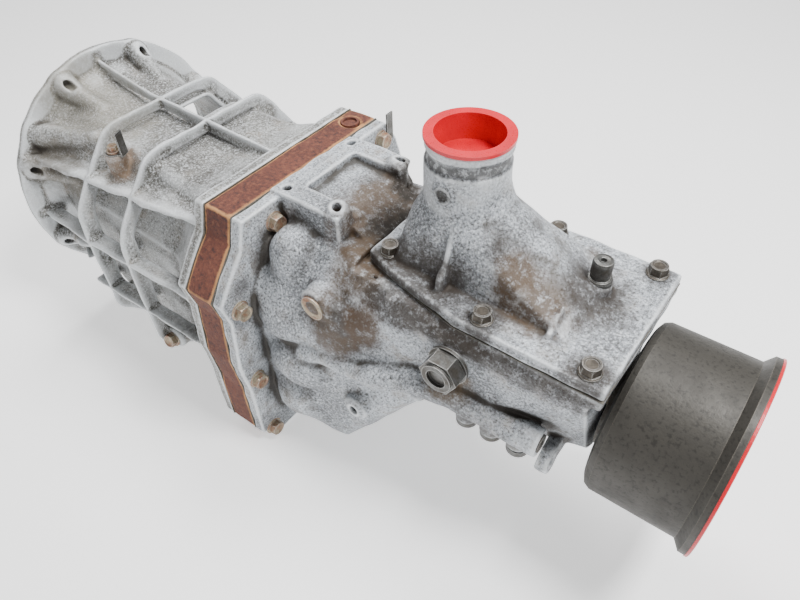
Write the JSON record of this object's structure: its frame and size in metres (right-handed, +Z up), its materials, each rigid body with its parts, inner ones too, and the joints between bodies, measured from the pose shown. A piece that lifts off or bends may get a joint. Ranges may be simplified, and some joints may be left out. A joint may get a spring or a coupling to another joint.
{
  "type": "manual transmission",
  "caption": "Rear-drive manual gearbox with integral clutch housing, iron intermediate plate, top shift turret and a parking brake drum on the output.",
  "frame": {"origin": "centre of the engine face on the shaft axis", "axes": "+X along the shafts from the engine face to the drum, +Z up through the shift turret, +Y to the vehicle's right"},
  "size_m": [0.9496, 0.357, 0.4765],
  "materials": {
    "cast_aluminium": "as-cast, lightly oxidised and oil stained",
    "rusty_iron": "rusted cast surface",
    "dark_iron": "dark cast and machined iron",
    "zinc_steel": "weathered zinc plate",
    "steel": "ground steel",
    "oiled_steel": "oily steel",
    "brass": "machined brass",
    "red_plastic": "semi-gloss moulded plastic",
    "seal_rubber": "matt rubber",
    "gasket": "pressed gasket sheet"
  },
  "bodies": {
    "case": {"front_case": "cast_aluminium", "intermediate_plate": "rusty_iron", "rear_case": "cast_aluminium", "control_cover": "cast_aluminium", "cover_gasket": "gasket", "plate_gaskets": "gasket", "bearing_retainer": "dark_iron", "retainer_bolts": "zinc_steel", "flange_bolts": "zinc_steel", "cover_bolts": "zinc_steel", "breather": "steel", "wire_clips": "zinc_steel", "clip_bolt": "zinc_steel", "fill_plug": "zinc_steel", "drain_plug": "zinc_steel", "side_switch": "steel", "detent_plugs": "oiled_steel", "detent_springs": "steel", "detent_balls": "steel", "tube_plug": "dark_iron", "core_plug": "rusty_iron", "front_oil_seal": "seal_rubber", "rear_oil_seal": "seal_rubber", "idler_shaft": "steel", "input_bearing": "steel", "centre_bearing": "steel", "rear_bearing": "steel", "counter_bearings": "steel"},
    "input": {"input_shaft": "steel", "pilot_bearing": "steel", "input_inner_race": "steel"},
    "cluster": {"countershaft": "steel", "counter_fifth_gear": "steel", "counter_nut": "steel", "counter_inner_races": "steel"},
    "output": {"mainshaft": "steel", "synchro_hubs": "steel", "blocker_rings": "brass", "main_inner_races": "steel", "output_flange": "dark_iron", "output_nut": "steel", "brake_drum": "dark_iron", "drum_bolts": "zinc_steel"},
    "first": {"first_gear": "steel"},
    "second": {"second_gear": "steel"},
    "third": {"third_gear": "steel"},
    "fifth": {"fifth_gear": "steel"},
    "reverse": {"reverse_gear": "steel"},
    "idler": {"reverse_idler": "steel"},
    "low_ring": {"low_sleeve": "steel"},
    "high_ring": {"high_sleeve": "steel"},
    "fifth_ring": {"fifth_sleeve": "steel"},
    "low_selector": {"low_fork": "dark_iron", "low_rail": "steel"},
    "high_selector": {"high_fork": "dark_iron", "high_rail": "steel"},
    "fifth_selector": {"fifth_fork": "dark_iron", "fifth_rail": "steel"},
    "cap": {"tower_cap": "red_plastic"},
    "cover": {"drum_cover": "red_plastic"}
  },
  "joints": [
    {"name": "cluster_spin", "type": "hinge", "parent": "case", "child": "cluster", "pos_m": [0.3, 0, -0.099], "axis": [1, 0, 0], "continuous": true},
    {"name": "input_spin", "type": "hinge", "parent": "case", "child": "input", "pos_m": [0.3, 0, 0], "axis": [1, 0, 0], "continuous": true},
    {"name": "third_gear_spin", "type": "hinge", "parent": "case", "child": "third", "pos_m": [0.3, 0, 0], "axis": [1, 0, 0], "continuous": true},
    {"name": "second_gear_spin", "type": "hinge", "parent": "case", "child": "second", "pos_m": [0.3, 0, 0], "axis": [1, 0, 0], "continuous": true},
    {"name": "first_gear_spin", "type": "hinge", "parent": "case", "child": "first", "pos_m": [0.3, 0, 0], "axis": [1, 0, 0], "continuous": true},
    {"name": "fifth_gear_spin", "type": "hinge", "parent": "case", "child": "fifth", "pos_m": [0.3, 0, 0], "axis": [1, 0, 0], "continuous": true},
    {"name": "idler_spin", "type": "hinge", "parent": "case", "child": "idler", "pos_m": [0.3, -0.05973, -0.07895], "axis": [1, 0, 0], "continuous": true},
    {"name": "reverse_gear_spin", "type": "hinge", "parent": "case", "child": "reverse", "pos_m": [0.3, 0, 0], "axis": [1, 0, 0], "continuous": true},
    {"name": "output_spin", "type": "hinge", "parent": "case", "child": "output", "pos_m": [0.3, 0, 0], "axis": [1, 0, 0], "continuous": true},
    {"name": "low_shift", "type": "slide", "parent": "case", "child": "low_selector", "axis": [1, 0, 0], "range_m": [-0.007, 0.007]},
    {"name": "low_sleeve_slide", "type": "slide", "parent": "output", "child": "low_ring", "axis": [1, 0, 0], "range_m": [-0.007, 0.007]},
    {"name": "high_shift", "type": "slide", "parent": "case", "child": "high_selector", "axis": [1, 0, 0], "range_m": [-0.007, 0.007]},
    {"name": "high_sleeve_slide", "type": "slide", "parent": "output", "child": "high_ring", "axis": [1, 0, 0], "range_m": [-0.007, 0.007]},
    {"name": "fifth_shift", "type": "slide", "parent": "case", "child": "fifth_selector", "axis": [1, 0, 0], "range_m": [-0.007, 0.007]},
    {"name": "fifth_sleeve_slide", "type": "slide", "parent": "output", "child": "fifth_ring", "axis": [1, 0, 0], "range_m": [-0.007, 0.007]},
    {"name": "cap_pull", "type": "slide", "parent": "case", "child": "cap", "axis": [0, 0, 1], "range_m": [0, 0.06]},
    {"name": "drum_cover_pull", "type": "slide", "parent": "output", "child": "cover", "axis": [1, 0, 0], "range_m": [0, 0.06]}
  ],
  "couplings": [
    {"joint": "input_spin", "follows": "cluster_spin", "ratio": -1.8696},
    {"joint": "third_gear_spin", "follows": "cluster_spin", "ratio": -1.2},
    {"joint": "second_gear_spin", "follows": "cluster_spin", "ratio": -0.69231},
    {"joint": "first_gear_spin", "follows": "cluster_spin", "ratio": -0.375},
    {"joint": "fifth_gear_spin", "follows": "cluster_spin", "ratio": -2.4737},
    {"joint": "idler_spin", "follows": "cluster_spin", "ratio": -0.75},
    {"joint": "reverse_gear_spin", "follows": "cluster_spin", "ratio": 0.42857},
    {"joint": "low_sleeve_slide", "follows": "low_shift", "ratio": 1},
    {"joint": "high_sleeve_slide", "follows": "high_shift", "ratio": 1},
    {"joint": "fifth_sleeve_slide", "follows": "fifth_shift", "ratio": 1}
  ]
}
